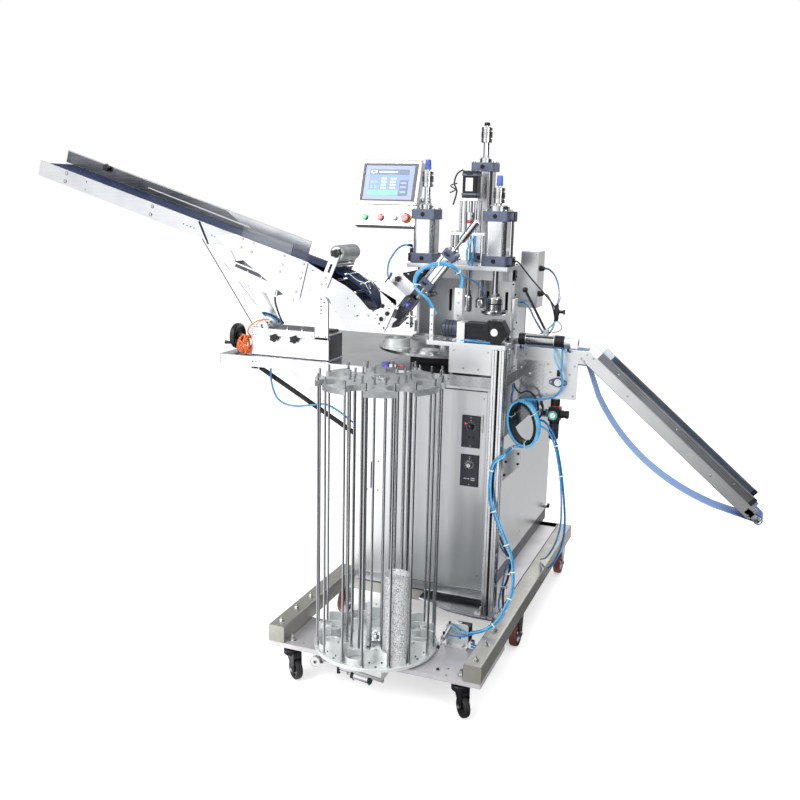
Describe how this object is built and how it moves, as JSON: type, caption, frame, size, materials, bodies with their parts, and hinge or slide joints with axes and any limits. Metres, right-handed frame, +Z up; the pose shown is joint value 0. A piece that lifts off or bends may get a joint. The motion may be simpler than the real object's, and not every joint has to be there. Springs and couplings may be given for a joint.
{
  "type": "tartlet shell forming machine",
  "caption": "Wheeled stainless tartlet shell maker: cup carousel, indexed turntable under air presses, dough infeed belt with cutter, outfeed belt and tilting screen.",
  "frame": {"origin": "bottom centre of the whole machine's box, on the floor", "axes": "+X to the operator's right along the outfeed, +Y to the back, +Z up"},
  "size_m": [2.8215, 1.59, 1.937],
  "materials": {
    "anodised_aluminium": "satin",
    "black_plastic": "matte",
    "black_rubber": "matte",
    "blackened_steel": "satin black",
    "blue_air_hose": "gloss",
    "brushed_stainless": "brushed",
    "crinkled_foil": "bright foil",
    "green_button": "gloss",
    "grey_cap_enamel": "satin",
    "ground_steel": "polished",
    "light_blue_belt": "satin",
    "navy_belt": "satin",
    "orange_coil_hose": "gloss",
    "panel_aluminium": "satin",
    "red_brown_tread": "matte",
    "red_button": "gloss",
    "white_selector": "satin"
  },
  "bodies": {
    "machine_base": {"base_frame": "brushed_stainless", "front_plate": "brushed_stainless", "cabinet": "brushed_stainless", "column": "anodised_aluminium", "front_support": "anodised_aluminium", "work_table": "brushed_stainless", "table_strut": "blackened_steel", "magazine_lock": "black_plastic", "under_slide": "blackened_steel", "indexer": "blackened_steel", "press_frame": "brushed_stainless", "press_cylinder_left": "anodised_aluminium", "press_cylinder_right": "anodised_aluminium", "press_cylinder_rear": "anodised_aluminium", "spindle_motor": "blackened_steel", "gearmotor": "blackened_steel", "feed_cylinder": "anodised_aluminium", "cutter_head": "brushed_stainless", "infeed_frame": "brushed_stainless", "infeed_belt": "navy_belt", "infeed_base": "brushed_stainless", "outfeed_frame": "brushed_stainless", "outfeed_belt": "light_blue_belt", "pusher_cylinder": "blackened_steel", "air_regulator": "black_plastic", "hose_coil": "blue_air_hose", "hose_bundle": "blue_air_hose", "orange_hose": "orange_coil_hose"},
    "caster_left": {"caster_fork_left": "black_plastic"},
    "caster_left_wheel": {"caster_wheel_left": "black_rubber"},
    "caster_right": {"caster_fork_right": "black_plastic"},
    "caster_right_wheel": {"caster_wheel_right": "black_rubber"},
    "mid_left_wheel": {"wheel_mid_left": "red_brown_tread"},
    "mid_right_wheel": {"wheel_mid_right": "red_brown_tread"},
    "rear_left_wheel": {"wheel_rear_left": "red_brown_tread"},
    "rear_right_wheel": {"wheel_rear_right": "red_brown_tread"},
    "cup_carousel": {"magazine_rods": "ground_steel", "magazine_top_disc": "anodised_aluminium", "cup_stack": "crinkled_foil"},
    "guide_roller": {"guide_roller": "ground_steel"},
    "turntable": {"turntable": "brushed_stainless"},
    "left_press": {"press_rod_left": "ground_steel"},
    "right_press": {"press_rod_right": "ground_steel"},
    "rear_press": {"press_rod_rear": "ground_steel"},
    "spindle": {"spindle": "ground_steel"},
    "gear_shaft": {"gearmotor_shaft": "ground_steel"},
    "feed_rod": {"feed_rod": "ground_steel"},
    "belt_roller": {"infeed_roller": "ground_steel"},
    "press_drum": {"press_drum": "grey_cap_enamel"},
    "handwheel": {"handwheel": "black_plastic"},
    "outfeed_roller": {"outfeed_roller": "ground_steel"},
    "pusher": {"pusher_rod": "ground_steel"},
    "screen": {"hmi_panel": "panel_aluminium"},
    "emergency_stop": {"estop_button": "red_button"},
    "selector": {"selector_knob": "white_selector"},
    "start_button": {"start_button": "green_button"},
    "stop_button": {"stop_button": "red_button"},
    "upper_controller_knob": {"controller_knob_upper": "black_plastic"},
    "lower_controller_knob": {"controller_knob_lower": "black_plastic"},
    "ball_lever": {"ball_lever": "black_plastic"}
  },
  "joints": [
    {"name": "caster_left_swivel", "type": "hinge", "parent": "machine_base", "child": "caster_left", "pos_m": [-0.06904, -0.67, 0], "axis": [0, 0, 1], "continuous": true},
    {"name": "caster_left_roll", "type": "hinge", "parent": "caster_left", "child": "caster_left_wheel", "pos_m": [-0.04907, -0.68505, 0.0375], "axis": [0.6018, 0.7986, 0], "continuous": true},
    {"name": "caster_right_swivel", "type": "hinge", "parent": "machine_base", "child": "caster_right", "pos_m": [0.54496, -0.67, 0], "axis": [0, 0, 1], "continuous": true},
    {"name": "caster_right_roll", "type": "hinge", "parent": "caster_right", "child": "caster_right_wheel", "pos_m": [0.56137, -0.68887, 0.0375], "axis": [0.7547, 0.6561, 0], "continuous": true},
    {"name": "mid_left_roll", "type": "hinge", "parent": "machine_base", "child": "mid_left_wheel", "pos_m": [-0.11504, -0.13, 0.05], "axis": [1, 0, 0], "continuous": true},
    {"name": "mid_right_roll", "type": "hinge", "parent": "machine_base", "child": "mid_right_wheel", "pos_m": [0.59096, -0.13, 0.05], "axis": [1, 0, 0], "continuous": true},
    {"name": "rear_left_roll", "type": "hinge", "parent": "machine_base", "child": "rear_left_wheel", "pos_m": [0.00796, 0.64, 0.05], "axis": [1, 0, 0], "continuous": true},
    {"name": "rear_right_roll", "type": "hinge", "parent": "machine_base", "child": "rear_right_wheel", "pos_m": [0.59096, 0.64, 0.05], "axis": [1, 0, 0], "continuous": true},
    {"name": "carousel_turn", "type": "hinge", "parent": "machine_base", "child": "cup_carousel", "pos_m": [0.20696, -0.582, 0.1397], "axis": [0, 0, 1], "continuous": true},
    {"name": "guide_roller_spin", "type": "hinge", "parent": "machine_base", "child": "guide_roller", "pos_m": [0.03596, -0.709, 0.091], "axis": [0, 1, 0], "continuous": true},
    {"name": "turntable_index", "type": "hinge", "parent": "machine_base", "child": "turntable", "pos_m": [0.25296, -0.055, 1.1], "axis": [0, 0, 1], "continuous": true},
    {"name": "left_press_down", "type": "slide", "parent": "machine_base", "child": "left_press", "axis": [0, 0, -1], "range_m": [0, 0.055]},
    {"name": "right_press_up", "type": "slide", "parent": "machine_base", "child": "right_press", "axis": [0, 0, 1], "range_m": [0, 0.055]},
    {"name": "rear_press_down", "type": "slide", "parent": "machine_base", "child": "rear_press", "axis": [0, 0, -1], "range_m": [0, 0.05]},
    {"name": "spindle_spin", "type": "hinge", "parent": "machine_base", "child": "spindle", "pos_m": [0.26796, 0.145, 1.2177], "axis": [0, 0, 1], "continuous": true},
    {"name": "gear_shaft_spin", "type": "hinge", "parent": "machine_base", "child": "gear_shaft", "pos_m": [0.51196, -0.305, 1.2104], "axis": [0, 1, 0], "continuous": true},
    {"name": "feed_stroke", "type": "slide", "parent": "machine_base", "child": "feed_rod", "axis": [-0.6157, 0, -0.788], "range_m": [0, 0.03]},
    {"name": "press_drum_spin", "type": "hinge", "parent": "machine_base", "child": "press_drum", "pos_m": [-0.09304, -0.285, 1.4457], "axis": [0, 1, 0], "continuous": true},
    {"name": "belt_roller_spin", "type": "hinge", "parent": "machine_base", "child": "belt_roller", "pos_m": [0.05896, -0.285, 1.2537], "axis": [0, 1, 0], "continuous": true},
    {"name": "handwheel_turn", "type": "hinge", "parent": "machine_base", "child": "handwheel", "pos_m": [-0.55504, -0.215, 1.1077], "axis": [1, 0, 0], "continuous": true},
    {"name": "outfeed_roller_spin", "type": "hinge", "parent": "machine_base", "child": "outfeed_roller", "pos_m": [1.39526, -0.101, 0.60427], "axis": [0, 1, 0], "continuous": true},
    {"name": "pusher_stroke", "type": "slide", "parent": "machine_base", "child": "pusher", "axis": [-1, 0, 0], "range_m": [0, 0.05]},
    {"name": "screen_tilt", "type": "hinge", "parent": "machine_base", "child": "screen", "pos_m": [-0.08154, 0.21666, 1.63333], "axis": [1, 0, 0], "range_deg": [-15, 10]},
    {"name": "start_press", "type": "slide", "parent": "screen", "child": "start_button", "axis": [0, 0.9516, -0.3074], "range_m": [0, 0.003], "stiffness_N_per_m": 300, "springref_m": -0.003},
    {"name": "stop_press", "type": "slide", "parent": "screen", "child": "stop_button", "axis": [0, 0.9516, -0.3074], "range_m": [0, 0.003], "stiffness_N_per_m": 300, "springref_m": -0.003},
    {"name": "emergency_stop_press", "type": "slide", "parent": "screen", "child": "emergency_stop", "axis": [0, 0.9516, -0.3074], "range_m": [0, 0.003], "stiffness_N_per_m": 500, "springref_m": -0.003},
    {"name": "selector_turn", "type": "hinge", "parent": "screen", "child": "selector", "pos_m": [-0.04004, 0.13478, 1.56625], "axis": [0, -0.9516, 0.3074], "range_deg": [-45, 45]},
    {"name": "upper_controller_turn", "type": "hinge", "parent": "machine_base", "child": "upper_controller_knob", "pos_m": [0.42296, -0.261, 0.8603], "axis": [0, 1, 0], "range_deg": [-135, 135]},
    {"name": "lower_controller_turn", "type": "hinge", "parent": "machine_base", "child": "lower_controller_knob", "pos_m": [0.42296, -0.261, 0.7213], "axis": [0, 1, 0], "range_deg": [-135, 135]},
    {"name": "ball_lever_tilt", "type": "hinge", "parent": "machine_base", "child": "ball_lever", "pos_m": [0.63796, -0.105, 1.1947], "axis": [0, 1, 0], "range_deg": [-10, 20]}
  ],
  "couplings": [
    {"joint": "belt_roller_spin", "follows": "press_drum_spin", "ratio": -2.1}
  ]
}
